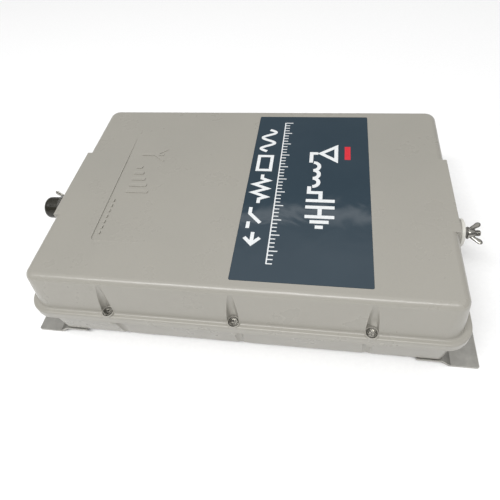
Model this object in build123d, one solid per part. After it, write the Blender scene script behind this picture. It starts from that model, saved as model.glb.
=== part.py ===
from build123d import *
from math import cos, radians, sin
import os

# Weatherproof antenna tuner: a two-part moulded case on two mounting strips.
#
# Millimetres. The origin is the middle of the case on the mounting plane, +X runs
# towards the antenna terminal, +Y towards the back long side and +Z up to the label.

os.makedirs("parts", exist_ok=True)

# ---------------------------------------------------------------- case sizes
TOP_Z = 92.0            # top face of the cover
LEDGE_Z = 55.8          # upper face of the rim that runs round the cover
PARTING_Z = 51.6        # joint between cover and base
RIM_BOTTOM_Z = 47.0     # underside of the rim
BASE_BOTTOM_Z = 8.0     # outside of the base floor
FLOOR_Z = 11.0          # inside of the base floor

TOP_HALF = (167.9, 109.3)       # half length and half width at the top face
COVER_FOOT_HALF = (171.8, 115.5)
RIM_HALF = (177.5, 120.0)
BASE_TOP_HALF = (172.0, 114.6)
BASE_FOOT_HALF = (165.8, 108.4)
RIM_CORNER_R = 20.0
COVER_FOOT_CORNER_R = 15.5
TOP_CORNER_R = 8.8
BASE_FOOT_CORNER_R = 4.5
TOP_EDGE_R = 5.8
CREASE_R = 1.8          # where the cover wall meets the rim
RIM_EDGE_R = 1.6
BASE_EDGE_R = 1.2
WALL = 3.3

# ---------------------------------------------------------------- cover screws
SCREW_X = (-104.5, 0.0, 104.5)
SCREW_Y = 115.2
FLUTE_R = 4.5                   # of the base flutes
COVER_FLUTE_FOOT_R = 5.0        # the cover flutes narrow towards the top
COVER_FLUTE_TOP_R = 3.5
COVER_FLUTE_H = 42.0
COVER_FLUTE_LEAN = 2.8          # degrees, the upper end leans in with the wall
BASE_FLUTE_LEAN = 5.5           # degrees, the lower end leans in with the wall
FLUTE_WALL_R = 7.8              # plastic left round each flute on the inside
SEAT_R = 5.2
SEAT_Z = 57.4
SINK_R = 4.25           # the head stands in a round sink in its seat
SINK_Z = 54.4
SCREW_R = 2.0
HEAD_FLATS = 7.0
HEAD_H = 2.4
DISH_R = 2.6            # the head is hollowed round its cross recess
DISH_DEEP = 0.8
SEAL_T = 0.5
SEAL_R = 3.4
INSERT_R = 2.8
INSERT_BOSS_R = 4.4
INSERT_BOTTOM_Z = 44.8

# ---------------------------------------------------------------- seal between the halves
GROOVE_OUT = (173.2, 115.9)     # outer half length and half width of its groove
GROOVE_CORNER_R = 15.7
GROOVE_WIDE = 3.0
GROOVE_DEEP = 2.2
GROOVE_HUG = 3.6                # how near it passes to a screw

# ---------------------------------------------------------------- label and moulded field
LABEL_X = (-2.3, 103.5)
LABEL_HALF_Y = 99.3
LABEL_RECESS = 0.3
LABEL_PROUD = 0.1
FIELD_X = (-124.8, -61.0)
FIELD_HALF_Y = 69.6
FIELD_DEEP = 0.80               # at its left and near edges
FIELD_FADE_Y = 40.0             # length over which it rises to its far edge

# ---------------------------------------------------------------- end pads and terminals
PAD_Y = (-43.0, 39.0)
PAD_TOP_X = 170.2
PAD_FOOT_X = 171.9
INNER_SEAT_X = 164.5

ANTENNA_Y = -25.5
ANTENNA_Z = 70.5
ANTENNA_BOSS_R = 11.4
ANTENNA_BOSS_X = 175.0
INSULATOR_R = 11.6
INSULATOR_FACE_X = 177.8
SLEEVE_R = 6.0
BUSH_X = 156.5

GROUND_Y = 1.0
GROUND_Z = 62.6
LEFT_BOSS_X = -172.6
GROUND_POST_END_X = -187.3

GLAND_Y = -19.0
GLAND_Z = 73.0
GLAND_THREAD_R = 8.0
GLAND_END_X = -194.3

RUN = 0.05              # radial clearance of parts that turn or slide
STUD_R = 2.5
STUD_HOLE_R = STUD_R + RUN
STUD_END_CHAMFER = 0.5
NUT_FLATS = 8.0
WASHER_R = 5.0
WASHER_T = 1.0
WING_HUB_R = 4.2
WING_HUB_H = 5.2

# ---------------------------------------------------------------- mounting strips
STRIP_T = 1.8
STRIP_INNER_X = 145.0
STRIP_JOGGLE_IN_X = 165.5
STRIP_JOGGLE_OUT_X = 172.8
STRIP_OUTER_X = 195.0
STRIP_HALF_Y = 109.7
STRIP_CORNER_R = 1.5
MOUNT_HOLE_X = 186.0
MOUNT_HOLE_Y = 75.0
MOUNT_HOLE_R = 3.25
STRIP_SCREW_X = 154.5
STRIP_SCREW_Y = (-85.0, -32.0, 32.0, 85.0)
STRIP_SCREW_R = 2.0
STRIP_INSERT_R = 2.8

# ---------------------------------------------------------------- inside
CHASSIS_Z = 15.0
CHASSIS_T = 1.5
CHASSIS_TOP = CHASSIS_Z + CHASSIS_T
CHASSIS_HALF = (148.0, 92.0)
BOARD_Z = 26.5
BOARD_T = 1.6
BOARD_TOP = BOARD_Z + BOARD_T
SMALL_SCREW_R = 1.5
SMALL_HEAD_R = 2.9
SMALL_HEAD_H = 1.9


# ---------------------------------------------------------------- helpers
def slab(half, corner, z0, z1):
    """A flat block with rounded corners between two heights."""
    face = RectangleRounded(2 * half[0], 2 * half[1], corner)
    return Pos(0, 0, z0) * extrude(face, z1 - z0)


def drafted(half0, corner0, z0, half1, corner1, z1):
    """A block whose walls lean between two rounded rectangles."""
    low = Pos(0, 0, z0) * RectangleRounded(2 * half0[0], 2 * half0[1], corner0)
    high = Pos(0, 0, z1) * RectangleRounded(2 * half1[0], 2 * half1[1], corner1)
    return loft([low.face(), high.face()], ruled=True)


def z_rod(r, z0, z1, x=0.0, y=0.0):
    return Pos(x, y, z0) * extrude(Circle(r), z1 - z0)


def z_ring(r_out, r_in, z0, z1, x=0.0, y=0.0):
    return Pos(x, y, z0) * extrude(Circle(r_out) - Circle(r_in), z1 - z0)


def across_x(x, y, z):
    """A work plane that faces along +X."""
    return Plane(origin=(x, y, z), x_dir=(0, 1, 0), z_dir=(1, 0, 0))


def x_rod(r, x0, x1, y, z):
    low, high = min(x0, x1), max(x0, x1)
    return extrude(across_x(low, y, z) * Circle(r), high - low)


def x_ring(r_out, r_in, x0, x1, y, z):
    low, high = min(x0, x1), max(x0, x1)
    return x_rod(r_out, low, high, y, z) - x_rod(r_in, low - 1, high + 1, y, z)


def x_hex(flats, x0, x1, y, z, bore, turn=0.0):
    """A hexagon along X with its corners taken off and a plain bore."""
    low, high = min(x0, x1), max(x0, x1)
    outline = Rot(0, 0, turn) * RegularPolygon(flats / 2, 6, major_radius=False)
    body = extrude(across_x(low, y, z) * outline, high - low)
    corner = flats / 2 / cos(radians(30))
    turned = x_rod(corner + 0.01, low, high, y, z)
    turned = chamfer(turned.edges().filter_by(GeomType.CIRCLE), (corner - flats / 2) * 0.9)
    return (body & turned) - x_rod(bore, low - 1, high + 1, y, z)


def block(x0, x1, y0, y1, z0, z1):
    return Pos((x0 + x1) / 2, (y0 + y1) / 2, (z0 + z1) / 2) * Box(x1 - x0, y1 - y0, z1 - z0)


def screw_points():
    for x in SCREW_X:
        for side in (-1, 1):
            yield x, side * SCREW_Y


def flute(x, y, z, lean, low, high):
    """A long round cutter through (x, y, z) that leans towards the middle of the case."""
    side = 1 if y > 0 else -1
    return Pos(x, y, z) * Rot(side * lean, 0, 0) * z_rod(FLUTE_R, low, high)


def export(name, *solids):
    shape = solids[0] if len(solids) == 1 else Compound(children=list(solids))
    export_step(shape, "parts/" + name + ".step")


def one(shape):
    """The only solid of a result."""
    found = shape.solids()
    assert len(found) == 1, len(found)
    return found[0]


# ================================================================ cover
skirt = slab(RIM_HALF, RIM_CORNER_R, PARTING_Z, LEDGE_Z)
skirt = fillet(skirt.edges().group_by(Axis.Z)[-1], RIM_EDGE_R)
dome = drafted(COVER_FOOT_HALF, COVER_FOOT_CORNER_R, LEDGE_Z, TOP_HALF, TOP_CORNER_R, TOP_Z)
dome = fillet(dome.edges().group_by(Axis.Z)[-1], TOP_EDGE_R)
outer = skirt + dome


def at_crease(edge):
    """True for the edges where the cover wall stands on the rim."""
    middle = edge.center()
    level = abs(middle.Z - LEDGE_Z) < 0.01 and edge.bounding_box().size.Z < 0.01
    inside = abs(middle.X) < COVER_FOOT_HALF[0] + 0.5 and abs(middle.Y) < COVER_FOOT_HALF[1] + 0.5
    return level and inside


outer = fillet([e for e in outer.edges() if at_crease(e)], CREASE_R)

for side in (-1, 1):
    pad_corners = [(side * 160, LEDGE_Z - 1), (side * PAD_FOOT_X, LEDGE_Z - 1),
                   (side * PAD_TOP_X, TOP_Z), (side * 160, TOP_Z)]
    pad = extrude(Plane.XZ * Polygon(*pad_corners, align=None), (PAD_Y[1] - PAD_Y[0]) / 2, both=True)
    pad = Pos(0, (PAD_Y[0] + PAD_Y[1]) / 2, 0) * pad
    top_edges = pad.edges().filter_by(Axis.Y).group_by(Axis.Z)[-1].sort_by(Axis.X)
    outer = outer + fillet(top_edges[-1 if side > 0 else 0], 0.9)

rim_plan = slab(RIM_HALF, RIM_CORNER_R, PARTING_Z, TOP_Z)
for x, y in screw_points():
    side = 1 if y > 0 else -1
    from_foot = (Align.CENTER, Align.CENTER, Align.MIN)
    hollow = Cone(COVER_FLUTE_FOOT_R, COVER_FLUTE_TOP_R, COVER_FLUTE_H, align=from_foot)
    outer = outer - Pos(x, y, LEDGE_Z) * Rot(side * COVER_FLUTE_LEAN, 0, 0) * hollow
    seat = z_rod(SEAT_R, PARTING_Z, SEAT_Z, x, y)
    seat = fillet(seat.edges().group_by(Axis.Z)[-1], 0.5)
    outer = outer + (seat & rim_plan)

outer = outer + x_rod(ANTENNA_BOSS_R, 160, ANTENNA_BOSS_X, ANTENNA_Y, ANTENNA_Z)
outer = outer + x_rod(5.6, LEFT_BOSS_X, -160, GROUND_Y, GROUND_Z)
outer = outer + x_rod(13.2, LEFT_BOSS_X, -160, GLAND_Y, GLAND_Z)

inner_foot = (COVER_FOOT_HALF[0] - WALL, COVER_FOOT_HALF[1] - WALL)
inner_top = (TOP_HALF[0] - WALL, TOP_HALF[1] - WALL)
cavity = drafted(inner_foot, COVER_FOOT_CORNER_R - WALL, PARTING_Z - 1,
                 inner_top, TOP_CORNER_R - WALL, TOP_Z - WALL)
cavity = fillet(cavity.edges().group_by(Axis.Z)[-1], 3.0)
for x, y in screw_points():
    cavity = cavity - z_rod(FLUTE_WALL_R, PARTING_Z - 2, TOP_Z, x, y)
cavity = cavity - x_rod(13.0, INNER_SEAT_X, 180, ANTENNA_Y, ANTENNA_Z)
cavity = cavity - x_rod(14.0, -180, -INNER_SEAT_X, GLAND_Y, GLAND_Z)
cavity = cavity - x_rod(8.0, -180, -INNER_SEAT_X, GROUND_Y, GROUND_Z)

cover = outer - cavity
for x, y in screw_points():
    cover = cover - z_rod(SCREW_R + 0.3, PARTING_Z - 1, SEAT_Z + 1, x, y)
    cover = cover - z_rod(SINK_R, SINK_Z, SEAT_Z + 1, x, y)
cover = cover - x_rod(SLEEVE_R + 0.1, 150, 190, ANTENNA_Y, ANTENNA_Z)
cover = cover - x_rod(STUD_R + 0.2, -190, -150, GROUND_Y, GROUND_Z)
cover = cover - x_rod(GLAND_THREAD_R + 0.1, -190, -150, GLAND_Y, GLAND_Z)

# Shallow recess for the label.
label_mid = (LABEL_X[0] + LABEL_X[1]) / 2
label_wide = LABEL_X[1] - LABEL_X[0]
recess = RectangleRounded(label_wide + 0.4, 2 * LABEL_HALF_Y + 0.4, 1.4)
cover = cover - Pos(label_mid, 0, TOP_Z - LABEL_RECESS) * extrude(recess, 2)

# The moulded field is deepest along its left and near edges and rises to nothing at the others.
field_mid = (FIELD_X[0] + FIELD_X[1]) / 2
field_wide = FIELD_X[1] - FIELD_X[0]
field = Pos(field_mid, 0, TOP_Z - 2) * extrude(RectangleRounded(field_wide, 2 * FIELD_HALF_Y, 4.0), 4)
over = Pos(0, 0, 10) * Box(600, 600, 20)
tilt_x = Plane(origin=(FIELD_X[1], 0, TOP_Z), x_dir=(field_wide, 0, FIELD_DEEP),
               z_dir=(-FIELD_DEEP, 0, field_wide))
tilt_y = Plane(origin=(0, FIELD_HALF_Y, TOP_Z), x_dir=(1, 0, 0),
               z_dir=(0, -FIELD_DEEP, FIELD_FADE_Y))
cover = cover - (field & (tilt_x * over) & (tilt_y * over))

# Plain marks stand up from the field, a little above the top face: a mast with two
# arms, five bars that grow along a row, and a row of short dashes.
MARK_DEEP = 1.0
MARK_PROUD = 0.3
marks = [Pos(-101.0, 38.0) * RectangleRounded(22, 2.4, 0.8)]
for side in (-1, 1):
    marks.append(Pos(-93.0, 38.0 + side * 4.2) * Rot(0, 0, side * 38) * RectangleRounded(13, 2.4, 0.8))
for k in range(5):
    bar_long = 6.0 + 3.6 * k
    marks.append(Pos(-112.0 + bar_long / 2, 20.0 - 8.0 * k) * RectangleRounded(bar_long, 3.4, 0.9))
for k in range(7):
    marks.append(Pos(-119.6, -24.0 - 6.2 * k) * RectangleRounded(1.3, 3.2, 0.5))
for mark in marks:
    cover = cover + Pos(0, 0, TOP_Z - MARK_DEEP) * extrude(mark, MARK_DEEP + MARK_PROUD)
cover = one(cover)
export("cover_shell", cover)

label = RectangleRounded(label_wide, 2 * LABEL_HALF_Y, 1.2)
label = Pos(label_mid, 0, TOP_Z - LABEL_RECESS) * extrude(label, LABEL_RECESS + LABEL_PROUD)
export("cover_label", one(label))

# ================================================================ base
flange = slab(RIM_HALF, RIM_CORNER_R, RIM_BOTTOM_Z, PARTING_Z)
flange = fillet(flange.edges().group_by(Axis.Z)[0], BASE_EDGE_R)
tub = drafted(BASE_FOOT_HALF, BASE_FOOT_CORNER_R, BASE_BOTTOM_Z,
              BASE_TOP_HALF, COVER_FOOT_CORNER_R, RIM_BOTTOM_Z + 0.5)
tub = fillet(tub.edges().group_by(Axis.Z)[0], BASE_EDGE_R)
base = flange + tub
for x, y in screw_points():
    flute_top = INSERT_BOTTOM_Z - BASE_EDGE_R
    cutter = flute(x, y, flute_top, -BASE_FLUTE_LEAN, -50, 4)
    base = base - (cutter & Pos(0, 0, flute_top - 50) * Box(600, 600, 100))
    base = base + z_rod(INSERT_BOSS_R, flute_top, PARTING_Z, x, y)
base_cavity = drafted((BASE_FOOT_HALF[0] - WALL, BASE_FOOT_HALF[1] - WALL), 7.0, FLOOR_Z,
                      inner_foot, COVER_FOOT_CORNER_R - WALL, PARTING_Z + 0.5)
base_cavity = fillet(base_cavity.edges().group_by(Axis.Z)[0], 2.0)
for x, y in screw_points():
    wall_back = 1 if y > 0 else -1
    keep = z_rod(FLUTE_WALL_R, -60, 30)
    base_cavity = base_cavity - Pos(x, y, INSERT_BOTTOM_Z) * Rot(-wall_back * BASE_FLUTE_LEAN, 0, 0) * keep
    base_cavity = base_cavity - z_rod(FLUTE_WALL_R, INSERT_BOTTOM_Z, PARTING_Z + 1, x, y)
base = base - base_cavity
for x, y in screw_points():
    base = base - z_rod(INSERT_R, INSERT_BOTTOM_Z, PARTING_Z + 1, x, y)


def ring_path(inset, hug):
    """The outline of the seal groove, which runs round the rim and steps inwards past each screw."""
    face = RectangleRounded(2 * (GROOVE_OUT[0] - inset), 2 * (GROOVE_OUT[1] - inset), GROOVE_CORNER_R - inset)
    for px, py in screw_points():
        side = 1 if py > 0 else -1
        reach = GROOVE_OUT[1] + 12 - SCREW_Y
        face = face - Pos(px, py) * Circle(hug)
        face = face - Pos(px, py + side * reach / 2) * Rectangle(2 * hug, reach)
    return face


groove_face = ring_path(0.0, GROOVE_HUG) - ring_path(GROOVE_WIDE, GROOVE_HUG + GROOVE_WIDE)
base = base - Pos(0, 0, PARTING_Z - GROOVE_DEEP) * extrude(groove_face, GROOVE_DEEP + 1)

POSTS = [(sx * px, sy * py) for sx in (-1, 1) for px, py in ((135.0, 50.0), (60.0, 86.0)) for sy in (-1, 1)]
for px, py in POSTS:
    base = base + z_rod(4.5, FLOOR_Z - 0.5, CHASSIS_Z, px, py)
    base = base - z_rod(SMALL_SCREW_R, FLOOR_Z - 1.0, CHASSIS_Z + 1, px, py)
for side in (-1, 1):
    for sy in STRIP_SCREW_Y:
        base = base + z_rod(5.0, FLOOR_Z - 0.5, 18.5, side * STRIP_SCREW_X, sy)
        base = base - z_rod(STRIP_INSERT_R, BASE_BOTTOM_Z - 1, 17.5, side * STRIP_SCREW_X, sy)
# Stiffening ribs under the chassis plate.
for ry in (-62.0, 0.0, 62.0):
    base = base + block(-120, 120, ry - 1.2, ry + 1.2, FLOOR_Z - 0.5, CHASSIS_Z - 1.0)
base = one(base)
export("base_shell", base)

gasket = Pos(0, 0, PARTING_Z - GROOVE_DEEP) * extrude(groove_face, GROOVE_DEEP)
export("cover_gasket", one(gasket))

inserts = []
for x, y in screw_points():
    inserts.append(z_ring(INSERT_R, SCREW_R, INSERT_BOTTOM_Z, PARTING_Z - 0.1, x, y))
export("cover_screw_inserts", *inserts)

# ================================================================ cover screws
HEAD_Z = SINK_Z + SEAL_T
HEAD_TOP = HEAD_Z + HEAD_H
head_corner = HEAD_FLATS / 2 / cos(radians(30))
screws = []
seals = []
for x, y in screw_points():
    head = Pos(x, y, HEAD_Z) * extrude(RegularPolygon(HEAD_FLATS / 2, 6, major_radius=False), HEAD_H)
    turned = z_rod(head_corner + 0.01, HEAD_Z, HEAD_TOP, x, y)
    head = head & chamfer(turned.edges().group_by(Axis.Z)[-1], 0.45)
    head = head - z_rod(DISH_R, HEAD_TOP - DISH_DEEP, HEAD_TOP + 1, x, y)
    for angle in (0, 90):
        slot = Pos(x, y, HEAD_TOP - DISH_DEEP - 0.9) * Rot(0, 0, angle) * extrude(Rectangle(3.8, 0.8), 3)
        head = head - slot
    shank = z_rod(SCREW_R, INSERT_BOTTOM_Z + 0.8, HEAD_Z, x, y)
    shank = chamfer(shank.edges().group_by(Axis.Z)[0], 0.5)
    screws.append(one(head + shank))
    seals.append(z_ring(SEAL_R, SCREW_R + RUN, SINK_Z, HEAD_Z, x, y))
export("cover_screws", *screws)
export("cover_screw_seals", *seals)

# ================================================================ mounting strips
for side, name in ((-1, "left_mounting_strip"), (1, "right_mounting_strip")):
    top = BASE_BOTTOM_Z
    outline = [(STRIP_INNER_X, top - STRIP_T), (STRIP_INNER_X, top), (STRIP_JOGGLE_IN_X, top),
               (STRIP_JOGGLE_OUT_X, STRIP_T), (STRIP_OUTER_X, STRIP_T), (STRIP_OUTER_X, 0),
               (STRIP_JOGGLE_OUT_X - 0.9, 0), (STRIP_JOGGLE_IN_X - 0.9, top - STRIP_T)]
    profile = Plane.XZ * Polygon(*[(side * px, pz) for px, pz in outline], align=None)
    strip = extrude(profile, STRIP_HALF_Y, both=True)
    bends = [e for e in strip.edges().filter_by(Axis.Y)
             if STRIP_JOGGLE_IN_X - 2 < abs(e.center().X) < STRIP_JOGGLE_OUT_X + 1]
    strip = fillet(bends, 1.2)
    corners = [e for e in strip.edges().filter_by(Axis.Z) if abs(e.center().X) > STRIP_OUTER_X - 1]
    strip = fillet(corners, STRIP_CORNER_R)
    for sy in (-1, 1):
        strip = strip - z_rod(MOUNT_HOLE_R, -1, STRIP_T + 1, side * MOUNT_HOLE_X, sy * MOUNT_HOLE_Y)
    for sy in STRIP_SCREW_Y:
        strip = strip - z_rod(STRIP_SCREW_R + 0.25, 4, 10, side * STRIP_SCREW_X, sy)
    export(name, one(strip))

strip_screws = []
strip_inserts = []
for side in (-1, 1):
    for sy in STRIP_SCREW_Y:
        x = side * STRIP_SCREW_X
        seat_z = BASE_BOTTOM_Z - STRIP_T
        head = z_rod(3.8, seat_z - 2.6, seat_z, x, sy)
        head = fillet(head.edges().group_by(Axis.Z)[0], 1.0)
        for angle in (0, 90):
            head = head - Pos(x, sy, seat_z - 3) * Rot(0, 0, angle) * extrude(Rectangle(4.2, 0.9), 1.7)
        strip_screws.append(one(head + z_rod(STRIP_SCREW_R, seat_z, 16.0, x, sy)))
        strip_inserts.append(z_ring(STRIP_INSERT_R, STRIP_SCREW_R, BASE_BOTTOM_Z, 17.0, x, sy))
export("strip_screws", *strip_screws)
export("strip_inserts", *strip_inserts)

# ================================================================ antenna terminal
ay, az = ANTENNA_Y, ANTENNA_Z
insulator = x_rod(INSULATOR_R, ANTENNA_BOSS_X, INSULATOR_FACE_X, ay, az)
insulator = fillet(insulator.edges().filter_by(GeomType.CIRCLE).sort_by(Axis.X)[-1], 1.2)
insulator = insulator + x_rod(SLEEVE_R, INNER_SEAT_X, ANTENNA_BOSS_X, ay, az)
insulator = insulator - x_rod(STUD_HOLE_R, 150, 190, ay, az)
insulator = insulator - x_ring(9.6, 7.2, ANTENNA_BOSS_X - 1, ANTENNA_BOSS_X + 1.0, ay, az)
export("antenna_insulator", one(insulator))
export("antenna_seal_ring", one(x_ring(9.55, 7.25, ANTENNA_BOSS_X, ANTENNA_BOSS_X + 1.0, ay, az)))

bush = x_ring(10.0, STUD_HOLE_R, BUSH_X, INNER_SEAT_X, ay, az)
bush = fillet(bush.edges().filter_by(GeomType.CIRCLE).sort_by(Axis.X)[0:2].sort_by(Axis.Z)[-1], 0.8)
export("antenna_inner_bush", one(bush))
export("antenna_inner_nut", one(x_hex(NUT_FLATS, 151.5, BUSH_X - 1.0, ay, az, STUD_R)))

stud = x_rod(STUD_R, 147.0, 191.9, ay, az)
stud = chamfer(stud.edges().filter_by(GeomType.CIRCLE), STUD_END_CHAMFER)
export("antenna_stud", one(stud))
lock_x = INSULATOR_FACE_X + WASHER_T
clamp_x = lock_x + 2.8
wing_x = clamp_x + WASHER_T
ground_seal_x = LEFT_BOSS_X - 0.8
ground_post_x = ground_seal_x - WASHER_T
export("terminal_flat_washers",
       one(x_ring(WASHER_R, STUD_HOLE_R, INSULATOR_FACE_X, lock_x, ay, az)),
       one(x_ring(WASHER_R, STUD_HOLE_R, ground_post_x, ground_seal_x, GROUND_Y, GROUND_Z)))
export("antenna_lock_nut", one(x_hex(NUT_FLATS, lock_x, clamp_x, ay, az, STUD_R)))
export("antenna_clamp_washer", one(x_ring(WASHER_R, STUD_HOLE_R, clamp_x, wing_x, ay, az)))

blade = block(BUSH_X - 1.0, BUSH_X, ay - 4.0, ay + 4.0, 43.0, az + 6.0)
blade = chamfer(blade.edges().filter_by(Axis.Y).group_by(Axis.Z)[0], 0.3)
blade = blade - x_rod(STUD_HOLE_R, 150, 160, ay, az)
export("antenna_contact_blade", one(blade))


def wing_nut(x0, way, y, z, tilt):
    """A hub with two ears; the ears lie in the plane given by tilt from +Y."""
    hub = x_rod(WING_HUB_R, x0, x0 + way * WING_HUB_H, y, z)
    tip_edge = hub.edges().filter_by(GeomType.CIRCLE).sort_by(Axis.X)[-1 if way > 0 else 0]
    hub = fillet(tip_edge, 0.9)
    ear_plane = Plane(origin=(x0, y, z), x_dir=(0, cos(radians(tilt)), sin(radians(tilt))),
                      z_dir=(0, -sin(radians(tilt)), cos(radians(tilt))))
    shape = hub
    for ear_side in (-1, 1):
        root = Pos(ear_side * 3.0, -way * 2.2) * Circle(1.8)
        tip = Pos(ear_side * 7.7, -way * 8.2) * Circle(2.3)
        ear = extrude(ear_plane * make_hull((root + tip).edges()), 1.0, both=True)
        ear = fillet(ear.edges().filter_by(GeomType.CIRCLE), 0.5)
        shape = shape + ear
    return one(shape - x_rod(STUD_HOLE_R, x0 - 20, x0 + 20, y, z))


export("antenna_wing_nut", wing_nut(wing_x, 1, ay, az, 16.0))

# ================================================================ ground terminal
gy, gz = GROUND_Y, GROUND_Z
ground_wing_x = GROUND_POST_END_X - WASHER_T
export("ground_seal_washer", one(x_ring(WASHER_R, STUD_HOLE_R, ground_seal_x, LEFT_BOSS_X, gy, gz)))
export("ground_post", one(x_hex(NUT_FLATS, GROUND_POST_END_X, ground_post_x, gy, gz, STUD_R)))
export("ground_clamp_washer", one(x_ring(WASHER_R, STUD_HOLE_R, ground_wing_x, GROUND_POST_END_X, gy, gz)))
export("ground_wing_nut", wing_nut(ground_wing_x, -1, gy, gz, 75.0))
ground_stud = x_rod(STUD_R, -198.4, -151.5, gy, gz)
ground_stud = chamfer(ground_stud.edges().filter_by(GeomType.CIRCLE), STUD_END_CHAMFER)
export("ground_stud", one(ground_stud))
export("ground_inner_nuts",
       one(x_hex(NUT_FLATS, -164.5, -159.5, gy, gz, STUD_R)),
       one(x_hex(NUT_FLATS, -158.5, -154.5, gy, gz, STUD_R)))
ground_blade = block(-159.5, -158.5, gy - 4.0, gy + 4.0, 41.0, gz + 6.0)
ground_blade = chamfer(ground_blade.edges().filter_by(Axis.Y).group_by(Axis.Z)[0], 0.3)
ground_blade = ground_blade - x_rod(STUD_HOLE_R, -170, -150, gy, gz)
export("ground_contact_blade", one(ground_blade))

# ================================================================ cable gland
ly, lz = GLAND_Y, GLAND_Z
HEX_X = LEFT_BOSS_X - 1.0       # face of the hexagon that clamps the seal ring
COLLAR_X = HEX_X - 5.0
FINGER_X = COLLAR_X - 5.0
FINGER_END_X = -188.2
SLIP_X = -189.0
SLIP_END_X = -190.6
GROMMET_R = 6.75
CABLE_R = 4.4
export("gland_seal_ring", one(x_ring(11.4, GLAND_THREAD_R + 0.1, HEX_X, LEFT_BOSS_X, ly, lz)))
gland = x_hex(24.0, COLLAR_X, HEX_X, ly, lz, 6.2, 30)
gland = gland + x_ring(GLAND_THREAD_R, 6.2, HEX_X, -153.0, ly, lz)
gland = gland + x_ring(8.8, GROMMET_R + RUN, FINGER_X, COLLAR_X, ly, lz)
gland = gland + x_ring(7.7, GROMMET_R + RUN, FINGER_END_X, FINGER_X, ly, lz)
for k in range(6):
    cut = block(-190, FINGER_X - 0.6, -0.5, 0.5, 0.0, 12.0)
    gland = gland - Pos(0, ly, lz) * Rot(60 * k, 0, 0) * cut
export("gland_body", one(gland))
export("gland_locknut", one(x_hex(22.0, -INNER_SEAT_X, -160.0, ly, lz, GLAND_THREAD_R + RUN)))
export("gland_grommet", one(x_ring(GROMMET_R, CABLE_R, SLIP_X, COLLAR_X - 0.1, ly, lz)))
export("gland_slip_ring", one(x_ring(7.5, 5.2, SLIP_END_X, SLIP_X, ly, lz)))
nut = x_rod(10.0, GLAND_END_X, COLLAR_X - 0.5, ly, lz)
nut = fillet(nut.edges().filter_by(GeomType.CIRCLE).sort_by(Axis.X)[0], 4.0)
nut = fillet(nut.edges().filter_by(GeomType.CIRCLE).sort_by(Axis.X)[-1], 0.6)
nut = nut - x_rod(8.8 + RUN, FINGER_X - 0.5, COLLAR_X + 1, ly, lz)
nut = nut - x_rod(7.8, SLIP_END_X, FINGER_X, ly, lz)
nut = nut - x_rod(5.2, GLAND_END_X - 1, SLIP_END_X + 1, ly, lz)
for k in range(12):
    groove = x_rod(0.55, -187.6, COLLAR_X, 0, 10.35)
    nut = nut - Pos(0, ly, lz) * Rot(30 * k, 0, 0) * groove
export("gland_dome_nut", one(nut))

# ================================================================ chassis and boards
chassis = slab(CHASSIS_HALF, 6.0, CHASSIS_Z, CHASSIS_TOP)
for px, py in POSTS:
    chassis = chassis - z_rod(1.7, CHASSIS_Z - 1, CHASSIS_TOP + 1, px, py)
for sx in (-90.0, -30.0, 30.0, 90.0):
    chassis = chassis - Pos(sx, 31, CHASSIS_Z - 1) * extrude(SlotOverall(30, 8), 4)
    chassis = chassis - Pos(sx, -31, CHASSIS_Z - 1) * extrude(SlotOverall(30, 8), 4)


def pan_screw(x, y, seat_z, length):
    """A small cross-recess screw whose head stands on seat_z."""
    head = z_rod(SMALL_HEAD_R, seat_z, seat_z + SMALL_HEAD_H, x, y)
    head = fillet(head.edges().group_by(Axis.Z)[-1], SMALL_HEAD_H * 0.45)
    for angle in (0, 90):
        cut = extrude(Rectangle(SMALL_HEAD_R * 1.2, 0.6), SMALL_HEAD_H)
        head = head - Pos(x, y, seat_z + SMALL_HEAD_H * 0.45) * Rot(0, 0, angle) * cut
    return one(head + z_rod(SMALL_SCREW_R, seat_z - length, seat_z, x, y))


RF_BOARD_X = (-56.0, 161.0)
RF_BOARD_HALF_Y = 86.0
RF_STANDOFFS = [(x, sy * 79.0) for x in (-48.0, 46.0, 140.0) for sy in (-1, 1)]
LOGIC_X = (-132.0, -64.0)
LOGIC_Y = (-86.0, 28.0)
LOGIC_STANDOFFS = [(x, y) for x in (-126.0, -70.0) for y in (-80.0, 22.0)]

standoffs = []
small_screws = [pan_screw(px, py, CHASSIS_TOP, 4.5) for px, py in POSTS]
for x, y in RF_STANDOFFS + LOGIC_STANDOFFS:
    body = Pos(x, y, CHASSIS_TOP) * extrude(RegularPolygon(3.0, 6, major_radius=False), BOARD_Z - CHASSIS_TOP)
    standoffs.append(one(body - z_rod(SMALL_SCREW_R, CHASSIS_TOP + 2, BOARD_Z + 1, x, y)))
    small_screws.append(pan_screw(x, y, BOARD_TOP, 6.5))
export("board_standoffs", *standoffs)

SOCKET_Y = 62.0
SOCKET_Z = 34.0
SOCKET_X = -96.5        # face of the chassis tab that carries the socket
socket_tab = block(SOCKET_X, SOCKET_X + CHASSIS_T, SOCKET_Y - 16, SOCKET_Y + 16, CHASSIS_Z, SOCKET_Z + 14)
socket_tab = fillet(socket_tab.edges().filter_by(Axis.X).group_by(Axis.Z)[-1], 3.0)
chassis = chassis + (socket_tab - x_rod(8.0, SOCKET_X - 4, SOCKET_X + 6, SOCKET_Y, SOCKET_Z))
export("chassis_plate", one(chassis))

rf_board = block(RF_BOARD_X[0], RF_BOARD_X[1], -RF_BOARD_HALF_Y, RF_BOARD_HALF_Y, BOARD_Z, BOARD_TOP)
for x, y in RF_STANDOFFS:
    rf_board = rf_board - z_rod(1.6, BOARD_Z - 1, BOARD_TOP + 1, x, y)
export("tuner_board", one(rf_board))
logic_board = block(LOGIC_X[0], LOGIC_X[1], LOGIC_Y[0], LOGIC_Y[1], BOARD_Z, BOARD_TOP)
for x, y in LOGIC_STANDOFFS:
    logic_board = logic_board - z_rod(1.6, BOARD_Z - 1, BOARD_TOP + 1, x, y)
export("control_board", one(logic_board))

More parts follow.
